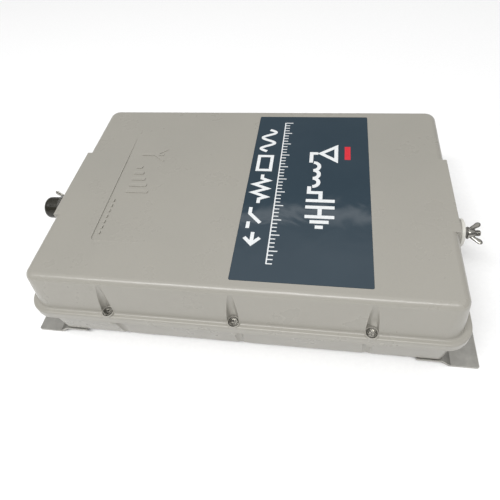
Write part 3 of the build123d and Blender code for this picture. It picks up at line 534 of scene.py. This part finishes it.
# ------------------------------------------------------------------ printed label
def label_rows():
    """Three rows of plain circuit symbols and ticks, read from the +X side of the case."""
    low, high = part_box("cover_label")
    sunk, proud, levels, level_step = 0.00001, 0.00002, 7, 0.000003
    z0, z1 = high[2] - sunk, high[2] + proud
    white, red = Shape(), Shape()

    def draw(shape, origin, points, width, closed=False):
        """A stroke in millimetres along and up a row; touching strokes keep to levels of their own."""
        path = [(low[0] + (origin[0] + up) * MM, (origin[1] - along) * MM) for along, up in points]
        lift = len(shape.faces) % levels * level_step
        shape.ribbon(path, width * MM, z0, z1 + lift, closed)

    # Wide row: antenna, coil, capacitor, earth. Strokes meet but don't cross.
    big = (50.5, 54.0)
    pen = 3.4
    draw(white, big, [(0.5, 26.3), (19.5, 26.3), (10, 12.5)], pen, True)
    draw(white, big, [(10, 10.0), (10, 4.0), (22.6, 4.0)], pen)
    for k in range(3):
        draw(white, big, arc(27.7 + 10.2 * k, 6.5, 5.1, 180, 0, 14), pen)
    draw(white, big, [(53.2, 4.0), (60.5, 4.0), (60.5, 14), (68.2, 14)], pen)
    draw(white, big, [(70, 2), (70, 26)], pen)
    draw(white, big, [(77.5, 2), (77.5, 26)], pen)
    draw(white, big, [(79.3, 14), (86.2, 14)], pen)
    for k in range(3):
        draw(white, big, [(88 + 5.4 * k, 2 + 4.4 * k), (88 + 5.4 * k, 26 - 4.4 * k)], pen)
    # Narrow row: wave, box, zigzag, switch, arrow.
    row = (4.5, 78.0)
    pen = 3.0
    draw(white, row, [(a * 0.5, 7.8 + 6.0 * sin(a * pi / 16)) for a in range(65)], pen)
    draw(white, row, [(39, 1.8), (58, 1.8), (58, 13.8), (39, 13.8)], pen, True)
    teeth = [(71.5 + 5 * k, 13.8 if k % 2 == 0 else 1.8) for k in range(5)]
    draw(white, row, [(64, 7.8), (69, 7.8)] + teeth + [(94, 7.8), (99, 7.8)], pen)
    draw(white, row, [(104, 2.6), (111, 2.6), (121, 12.4)], pen)
    draw(white, row, [(120, 2.6), (127, 2.6)], pen)
    draw(white, row, [(131, 7.8), (141.2, 7.8)], pen)
    draw(white, row, [(136.5, 1.5), (143, 7.8), (136.5, 14.1)], pen)
    # Fine row: a plain scale.
    scale = (26.5, 89.0)
    draw(white, scale, [(-0.5, 0), (172.5, 0)], 1.0)
    for k in range(44):
        draw(white, scale, [(k * 4.0, 0.5), (k * 4.0, 7.5 if k % 4 == 0 else 4.6)], 1.0)
    draw(red, (82.0, 54.0), [(0, 5), (18, 5)], 5.2)
    white.make("label_print", "label_film", "cover", INKS["white"])
    red.make("label_accent", "label_film", "cover", INKS["red"])


label_rows()


# ------------------------------------------------------------------ threads and wing nuts
def threaded_rod(name, node, body, pitch):
    """A rod with a helical thread and chamfered tips in place of a plain one."""
    low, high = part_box(node)
    middle = centre((low, high))
    r = (high[1] - low[1]) / 2
    sides, per_turn = 28, 8
    tip = 0.0006
    depth = 0.58 * pitch
    flat_crest = 1.35
    shape = Shape()
    count = int((high[0] - low[0]) / pitch * per_turn)
    stations = []
    for k in range(count + 1):
        x = low[0] + (high[0] - low[0]) * k / count
        limit = r - tip + min(x - low[0], high[0] - x)
        ring = []
        for j in range(sides):
            phase = (x / pitch - j / sides) % 1.0
            dip = min(1.0, flat_crest * abs(2 * phase - 1))
            size = min(r - depth * (1 - dip), limit)
            a = 2 * pi * j / sides
            ring.append((x, middle[1] + size * cos(a), middle[2] + size * sin(a)))
        stations.append(ring)
    shape.rings(stations)
    shape.make(name, "stainless_steel", body, hides=[node], sharp=70)


def wing_nut(name, node, stud, body, way, tilt):
    """A cast wing nut: a tapered hub and two rounded ears, melted together."""
    low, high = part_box(node)
    middle = centre(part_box(stud))
    x0 = low[0] if way > 0 else high[0]
    at = (x0, middle[1], middle[2])
    # Along the hub: distance, radius; it ends in the bore.
    hub = [(0, 4.1), (0.15, 4.2), (1.6, 4.1), (3.6, 3.75), (4.7, 3.5), (5.1, 3.1), (5.1, 2.6), (0, 2.6)]
    points_round = 20
    shape = Shape()
    shape.lathe([(way * a * MM, r * MM) for a, r in hub], at, "X", 40, closed=True)
    out = Vector((0, cos(radians(tilt)), sin(radians(tilt))))
    across = Vector((0, -sin(radians(tilt)), cos(radians(tilt))))
    ahead = Vector((way, 0, 0))
    # Along each ear: distance out, distance ahead, half width, half thickness.
    ear = [(2.6, 1.9, 1.7, 1.25), (3.7, 2.7, 1.75, 1.2), (4.9, 4.1, 1.75, 1.1), (5.9, 5.6, 1.9, 1.05),
           (6.8, 7.0, 2.2, 1.0), (7.6, 8.1, 2.3, 0.95), (8.4, 9.1, 1.9, 0.8), (8.95, 9.75, 1.15, 0.5),
           (9.15, 9.95, 0.45, 0.2)]
    for side in (-1, 1):
        stations = []
        for k, (far, forth, wide, thick) in enumerate(ear):
            a, b = ear[max(k - 1, 0)], ear[min(k + 1, len(ear) - 1)]
            run = (out * side * (b[0] - a[0]) + ahead * (b[1] - a[1])).normalized()
            flank = run.cross(across)
            spot = Vector(at) + (out * side * far + ahead * forth) * MM
            ring = []
            for j in range(points_round):
                c, d = cos(2 * pi * j / points_round), sin(2 * pi * j / points_round)
                ring.append(tuple(spot + (flank * wide * c + across * thick * d) * MM))
            stations.append(ring)
        shape.rings(stations)
    mesh = bpy.data.meshes.new(name)
    mesh.from_pydata(shape.verts, [], shape.faces)
    melted = melt(mesh, voxel=0.00024, passes=5)
    settle(melted, name, "stainless_steel", body, hides=[node], sharp=75)


def melt(mesh, voxel, passes):
    """Joins overlapping closed forms into one skin and rounds where they meet."""
    work = bmesh.new()
    work.from_mesh(mesh)
    bmesh.ops.recalc_face_normals(work, faces=work.faces)
    work.to_mesh(mesh)
    work.free()
    rough = bpy.data.objects.new("rough", mesh)
    bpy.context.scene.collection.objects.link(rough)
    remesh = rough.modifiers.new("remesh", "REMESH")
    remesh.mode = "VOXEL"
    remesh.voxel_size = voxel
    relax = rough.modifiers.new("relax", "SMOOTH")
    relax.iterations = passes
    relax.factor = 0.5
    ready = rough.evaluated_get(bpy.context.evaluated_depsgraph_get())
    result = bpy.data.meshes.new_from_object(ready)
    bpy.data.objects.remove(rough)
    return result


STUD_PITCH = 0.0008
threaded_rod("antenna_stud_thread", "antenna_stud", "cover", STUD_PITCH)
threaded_rod("ground_stud_thread", "ground_stud", "cover", STUD_PITCH)
wing_nut("antenna_wing_casting", "antenna_wing_nut", "antenna_stud", "antenna_wing", way=1, tilt=16)
wing_nut("ground_wing_casting", "ground_wing_nut", "ground_stud", "ground_wing", way=-1, tilt=75)


# ------------------------------------------------------------------ windings
def helix(x0, x1, y, z, r, turns, steps=36):
    """Points along a helix from x0 to x1 round an axis at y and z."""
    total = int(turns * steps)
    return [(x0 + (x1 - x0) * k / total, y + r * cos(2 * pi * k / steps), z + r * sin(2 * pi * k / steps))
            for k in range(total + 1)]


def wind_coils():
    """Bare wire round each coil former."""
    wire, pitch = 0.0009, 0.0024
    shape = Shape()
    for low, high in solids("coil_windings"):
        y, z = centre((low, high))[1:]
        r = (high[1] - low[1]) / 2 - wire
        turns = (high[0] - low[0] - 2 * wire) // pitch
        shape.tube(helix(low[0] + wire, high[0] - wire, y, z, r, turns), wire)
    shape.make("coil_turns", "copper_wire", "enclosure", hides=["coil_windings"])


def wind_rings():
    """Wire round each ring core, with a gap between the two ends."""
    wire, core_wide = 0.0006, 0.007
    shape = Shape()
    for core in solids("inductor_cores"):
        cx, cy, cz = centre(core)
        r_out = (core[1][0] - core[0][0]) / 2 + wire
        r_in = r_out - core_wide - 2 * wire
        half = (core[1][2] - core[0][2]) / 2 + wire
        turns = 27
        start, sweep = radians(20), radians(320)
        path = []
        loop = [(r_out, half), (r_out, -half), (r_in, -half), (r_in, half)]
        for k in range(turns * 4):
            r, h = loop[k % 4]
            r2, h2 = loop[(k + 1) % 4]
            for t in (0.12, 0.5, 0.88):
                a = start + sweep * (k + t) / (turns * 4)
                mix_r, mix_h = r + (r2 - r) * t, h + (h2 - h) * t
                path.append((cx + mix_r * cos(a), cy + mix_r * sin(a), cz + mix_h))
        shape.tube(path, wire, 6)
    shape.make("inductor_turns", "copper_wire", "enclosure", hides=["inductor_windings"])


def wind_transformer():
    """One long winding on the transformer, with a bobbin inside it."""
    wire, pitch, corner = 0.0007, 0.0015, 0.0022
    shape = Shape()
    low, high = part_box("transformer_winding")
    cx, cy = centre((low, high))[:2]
    hx, hy = (high[0] - low[0]) / 2 - wire, (high[1] - low[1]) / 2 - wire
    turn = []
    for sx, sy, a0 in ((1, 1, 0), (-1, 1, 90), (-1, -1, 180), (1, -1, 270)):
        turn += arc(cx + sx * (hx - corner), cy + sy * (hy - corner), corner, a0, a0 + 90, 5)
    turns = int((high[2] - low[2]) / pitch)
    path = []
    for k in range(turns):
        for j, (x, y) in enumerate(turn):
            share = (k + j / len(turn)) / turns
            path.append((x, y, low[2] + wire + (high[2] - low[2] - 2 * wire) * share))
    shape.tube(path, wire, 8)
    inner = Shape()
    gap, thick, short = 0.0016, 0.0012, 0.0002
    wall = rectangle(low[0] + gap, high[0] - gap, low[1] + gap, high[1] - gap)
    inner.ribbon(wall, thick, low[2] + short, high[2] - short, True)
    shape.make("transformer_turns", "copper_wire", "enclosure", hides=["transformer_winding"])
    inner.make("transformer_bobbin", "insulator", "enclosure")


wind_coils()
wind_rings()
wind_transformer()


# ------------------------------------------------------------------ boards
BOARD_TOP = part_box("tuner_board")[1][2]
SILK_HIGH, TRACK_HIGH = 0.00004, 0.00005
silk, track, solder, dark, tan = Shape(), Shape(), Shape(), Shape(), Shape()


def print_outlines():
    """Printed outlines round the parts and lands under the screws; gives the areas they take."""
    margin, line, screw_margin, head_high = 0.0008, 0.00022, 0.0006, 0.003
    taken = []
    for node in ("switching_relays", "inductor_windings", "coil_formers", "high_voltage_capacitors",
                 "smoothing_capacitors", "transformer_core", "transformer_winding", "detector_screen",
                 "surge_arrester", "control_chips", "control_terminal_block", "fuse_link",
                 "antenna_fork_contact"):
        for low, high in solids(node):
            a, b, c, d = low[0] - margin, high[0] + margin, low[1] - margin, high[1] + margin
            taken.append((a, b, c, d))
            if node in ("inductor_windings", "high_voltage_capacitors", "smoothing_capacitors"):
                r = (d - c) / 2 if node == "inductor_windings" else (b - a) / 2
                path = arc(low[0] + r - margin, (c + d) / 2, r, 0, 350, 35)
            else:
                path = rectangle(a, b, c, d)
            silk.ribbon(path, line, BOARD_TOP, BOARD_TOP + SILK_HIGH, True)
    for low, high in solids("small_screws") + solids("board_standoffs"):
        taken.append((low[0] - screw_margin, high[0] + screw_margin,
                      low[1] - screw_margin, high[1] + screw_margin))
        x, y = centre((low, high))[:2]
        if high[2] < BOARD_TOP + head_high:
            land = [(0, 0.0020), (0.00005, 0.0019), (0.00005, 0.0041), (0, 0.0042)]
            solder.lathe(land, (x, y, BOARD_TOP), "Z", 28, closed=True)
    return taken


def solder_relays():
    """Two soldered pins beside each relay, each with a short track."""
    apart, out, wide = 0.0055, 0.0024, 0.0014
    joint = [(0, 0.0011), (0.00012, 0.0010), (0.0006, 0.0004), (0.0011, 0.00025)]
    for low, high in solids("switching_relays"):
        x, y = centre((low, high))[:2]
        way = -1 if y > 0 else 1
        edge = low[1] if y > 0 else high[1]
        for dx in (-apart, apart):
            spot = (x + dx, edge + way * out)
            solder.lathe(joint, (*spot, BOARD_TOP), "Z", 12)
            run = [(spot[0], edge - way * 0.001), spot, (spot[0] + dx * 0.2, spot[1] + way * 0.0016)]
            track.ribbon(run, wide, BOARD_TOP, BOARD_TOP + TRACK_HIGH)


def scatter_parts(board, taken, rnd):
    """Pads, resistors and capacitors wherever a board is free; gives the place of each."""
    inset, around, long, short, cap, back = 0.005, 0.0012, 0.0016, 0.0009, 0.0004, 0.0003
    tries, most_parts = 1500, 150
    bare_pads, with_resistors = 0.28, 0.68      # shares of all the places
    low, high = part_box(board)
    spots = []
    for _ in range(tries):
        x = rnd.uniform(low[0] + inset, high[0] - inset)
        y = rnd.uniform(low[1] + inset, high[1] - inset)
        flat = rnd.random() < 0.5
        hx, hy = (long, short) if flat else (short, long)
        x0, x1, y0, y1 = x - hx - around, x + hx + around, y - hy - around, y + hy + around
        if not all(x1 < a or x0 > b or y1 < c or y0 > d for a, b, c, d in taken):
            continue
        taken.append((x0, x1, y0, y1))
        spots.append((x, y))
        kind = rnd.random()
        if kind < bare_pads:
            pad = [(0, 0.0008), (0.00012, 0.0007), (0.0003, 0.0003)]
            solder.lathe(pad, (x, y, BOARD_TOP), "Z", 12)
            continue
        part, tall = (dark, 0.0006) if kind < with_resistors else (tan, 0.0011)
        ex, ey = (cap, hy) if flat else (hx, cap)
        in_x, in_y = (back, 0) if flat else (0, back)
        part.box((x - hx + in_x, y - hy + in_y, BOARD_TOP),
                 (x + hx - in_x, y + hy - in_y, BOARD_TOP + tall), 0.00008)
        for side in (-1, 1):
            px, py = (x + side * hx, y) if flat else (x, y + side * hy)
            solder.box((px - ex, py - ey, BOARD_TOP), (px + ex, py + ey, BOARD_TOP + tall * 0.94), 0.0001)
        if len(spots) > most_parts:
            break
    return spots


def join_spots(spots):
    """Tracks between neighbours in a row, each with one slanting step."""
    row_high, shortest, longest, wide = 0.008, 0.003, 0.03, 0.0005
    spots.sort(key=lambda p: (round(p[1] / row_high), p[0]))
    for (x0, y0), (x1, y1) in zip(spots, spots[1:]):
        step = abs(y1 - y0)
        if x1 - x0 < step + shortest or x1 - x0 > longest:
            continue
        turn = x0 + (x1 - x0 - step) / 2
        run = [(x0, y0), (turn, y0), (turn + step, y1), (x1, y1)]
        track.ribbon(run, wide, BOARD_TOP, BOARD_TOP + SILK_HIGH)


def fill_boards():
    """Everything printed, soldered or scattered on the two boards."""
    rnd = random.Random(5)
    taken = print_outlines()
    solder_relays()
    for board in ("tuner_board", "control_board"):
        join_spots(scatter_parts(board, taken, rnd))
    masked_copper = plastic("masked_copper", (0.030, 0.150, 0.055), 0.26, 0.38, 0.00002, 0.15)
    tan_ceramic = plastic("tan_ceramic", (0.36, 0.24, 0.12), 0.35, 0.50, 0.00002, 0.15)
    silk.make("board_printing", "insulator", "enclosure", INKS["white"])
    track.make("board_tracks", "board_laminate", "enclosure", masked_copper)
    solder.make("board_solder", "tin_plate", "enclosure")
    dark.make("small_resistors", "chip_plastic", "enclosure")
    tan.make("small_capacitors", "relay_case", "enclosure", tan_ceramic)


fill_boards()


# ------------------------------------------------------------------ detail of the components
pips, leads, brass, steel, rims = Shape(), Shape(), Shape(), Shape(), Shape()


def relay_bases():
    """A pip on top of each relay and a foot that runs round under it."""
    foot_in, foot_wide, foot_high = 0.0006, 0.0017, 0.0014
    pip = [(-0.0002, 0.0011), (0.0004, 0.0011), (0.0006, 0.0008)]
    for low, high in solids("switching_relays"):
        x, y = centre((low, high))[:2]
        pips.lathe(pip, (x - 0.006, y, high[2]), "Z", 14)
        foot = rectangle(low[0] + foot_in, high[0] - foot_in, low[1] + foot_in, high[1] - foot_in)
        pips.ribbon(foot, foot_wide, low[2], low[2] + foot_high, True)


def chip_leads():
    """Bent leads along two sides of each chip, or all four of a wide one, and a pip at pin one."""
    pitch, lead_r, wide_chip, pip_in = 0.00127, 0.0002, 0.013, 0.0012
    bend = [(-0.0001, 0.0009), (0.0004, 0.0009), (0.0006, 0.0002), (0.0012, 0.0001)]
    for low, high in solids("control_chips"):
        # Along which axis (1 for X), from, to, the face and the way out of it.
        sides = [(0, low[1], high[1], low[0], -1), (0, low[1], high[1], high[0], 1)]
        if high[0] - low[0] > wide_chip:
            sides += [(1, low[0], high[0], low[1], -1), (1, low[0], high[0], high[1], 1)]
        for turned, a, b, face, way in sides:
            count = int((b - a - 0.001) / pitch)
            for k in range(count):
                along = (a + b) / 2 + (k - (count - 1) / 2) * pitch
                run = [(face + way * out, low[2] + up) for out, up in bend]
                path = [(along, p, h) if turned else (p, along, h) for p, h in run]
                leads.tube(path, lead_r, 6)
        corner = (low[0] + pip_in, low[1] + pip_in, high[2])
        pips.lathe([(-0.0001, 0.0005), (0.00004, 0.00045)], corner, "Z", 12)


def capacitor_tops():
    """Nuts on the high voltage capacitors; bare tops and rolled rims on the smoothing ones."""
    nut = [(-0.0003, 0.0024), (0.0007, 0.0024), (0.0010, 0.0020)]
    stud = [(0.0008, 0.0013), (0.0014, 0.0013), (0.0016, 0.0010)]
    for low, high in solids("high_voltage_capacitors"):
        x, y = centre((low, high))[:2]
        steel.lathe(nut, (x, y, high[2]), "Z", 6)
        steel.lathe(stud, (x, y, high[2]), "Z", 16)
    for low, high in solids("smoothing_capacitors"):
        x, y = centre((low, high))[:2]
        r = (high[0] - low[0]) / 2
        leads.lathe([(-0.0002, r * 0.80), (0.00015, r * 0.78)], (x, y, high[2]), "Z", 32)
        rim = [(0, r * 0.80), (0.0003, r * 0.84), (0.0002, r * 0.95), (-0.0003, r * 0.99), (-0.0005, r * 0.9)]
        rims.lathe(rim, (x, y, high[2]), "Z", 32, closed=True)


def terminal_screws():
    """Clamp screws of the terminal block: two half heads over a lower disc leave a slot."""
    half_slot, across, along = 0.00035, 0.0017, 0.0020
    low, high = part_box("control_terminal_block")
    for k in range(6):
        x, y = (low[0] + high[0]) / 2 + 0.0016, low[1] + (4 + 8 * k) * MM
        steel.lathe([(0.0, 0.0021), (0.0010, 0.0021)], (x, y, low[2] + 0.0095), "Z", 20)
        for side in (-1, 1):
            flat_x = x + side * half_slot
            rim = [(x + side * (half_slot + across * cos(radians(a))), y + along * sin(radians(a)))
                   for a in range(-75, 76, 15)]
            half_head = [(flat_x, y - along)] + rim + [(flat_x, y + along)]
            steel.rings([[(*p, low[2] + h) for p in half_head] for h in (0.0102, 0.0113)])


def coaxial_socket():
    """Thread on the socket's barrel, and its split centre contact."""
    low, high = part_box("coax_socket")
    mid = centre((low, high))
    r, pitch, turns, steps, thread_from, ridge = 0.0077, 0.0016, 9, 28, 0.0012, 0.00042
    path = []
    for k in range(turns * steps + 1):
        a = 2 * pi * k / steps
        path.append((low[0] + thread_from + pitch * k / steps, mid[1] + r * cos(a), mid[2] + r * sin(a)))
    leads.tube(path, ridge, 6)
    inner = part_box("coax_dielectric")
    brass.lathe([(-0.001, 0.00195), (0.0, 0.00195), (0.0002, 0.0018), (0.0002, 0.0012), (-0.001, 0.0012)],
                (inner[0][0] - 0.0002, mid[1], mid[2]), "X", 24, closed=True)
    brass.lathe([(0, 0.00195), (0.0035, 0.0019), (0.0040, 0.0014), (0.0040, 0.0008), (0, 0.0008)],
                (inner[1][0] - 0.0005, mid[1], mid[2]), "X", 24, closed=True)


def fuse():
    """End caps round a thinner glass tube with its sagging wire."""
    low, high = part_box("fuse_link")
    x, y, z = centre((low, high))
    glass, wire = Shape(), Shape()
    tube = [(0.004, 0.0024), (0.0195, 0.0024), (0.0195, 0.0019), (0.004, 0.0019)]
    glass.lathe(tube, (x, low[1], z), "Y", 32, closed=True)
    cap = [(0, 0.0020), (0.0003, 0.00245), (0.0006, 0.00254), (0.0058, 0.00254), (0.006, 0.0024)]
    for start, way in ((low[1], 1), (high[1], -1)):
        leads.lathe([(way * along, r) for along, r in cap], (x, start, z), "Y", 32)
    sag = [(x + 0.0003 * sin(k), low[1] + 0.005 + 0.0135 * k / 12, z + 0.0002 * cos(2 * k))
           for k in range(13)]
    wire.tube(sag, 0.00016, 6)
    glass.make("fuse_tube", "fuse_glass", "enclosure", hides=["fuse_link"])
    wire.make("fuse_wire", "tin_plate", "enclosure")


relay_bases()
chip_leads()
capacitor_tops()
terminal_screws()
coaxial_socket()
fuse()
pips.make("relay_bases", "relay_case", "enclosure")
leads.make("component_leads", "tin_plate", "enclosure")
brass.make("socket_contacts", "brass_parts", "enclosure")
steel.make("capacitor_nuts", "stainless_steel", "enclosure")
rims.make("capacitor_rims", "capacitor_sleeve", "enclosure")


# ------------------------------------------------------------------ floor
def floor_material():
    """Matt white paper, clear from below so that the underside of the case can be looked at."""
    m = Build("paper_floor")
    tooth = m.noise(300.0, 4.0, 0.6)
    m.colour(m.ramp(tooth, [(0.3, 0.91), (0.7, 0.94)]))
    m.put(Roughness=0.85, Specular_IOR_Level=0.15)
    m.bump(tooth, 0.00003, 0.3)
    side = m.node("NewGeometry")
    clear = m.node("BsdfTransparent")
    blend = m.node("MixShader")
    m.link(side, "Backfacing", blend, 0)
    m.link(m.bsdf, 0, blend, 1)
    m.link(clear, 0, blend, 2)
    m.link(blend, 0, m.out, 0)
    return m.mat


def make_floor():
    half = 14.0     # wide enough that no view sees its edge
    z = -0.0002     # just clear of the strips' undersides
    corners = [(-half, -half, z), (half, -half, z), (half, half, z), (-half, half, z)]
    mesh = bpy.data.meshes.new("floor")
    mesh.from_pydata(corners, [], [(0, 1, 2, 3)])
    mesh.materials.append(floor_material())
    floor_sheet = bpy.data.objects.new("floor", mesh)
    bpy.context.scene.collection.objects.link(floor_sheet)


make_floor()
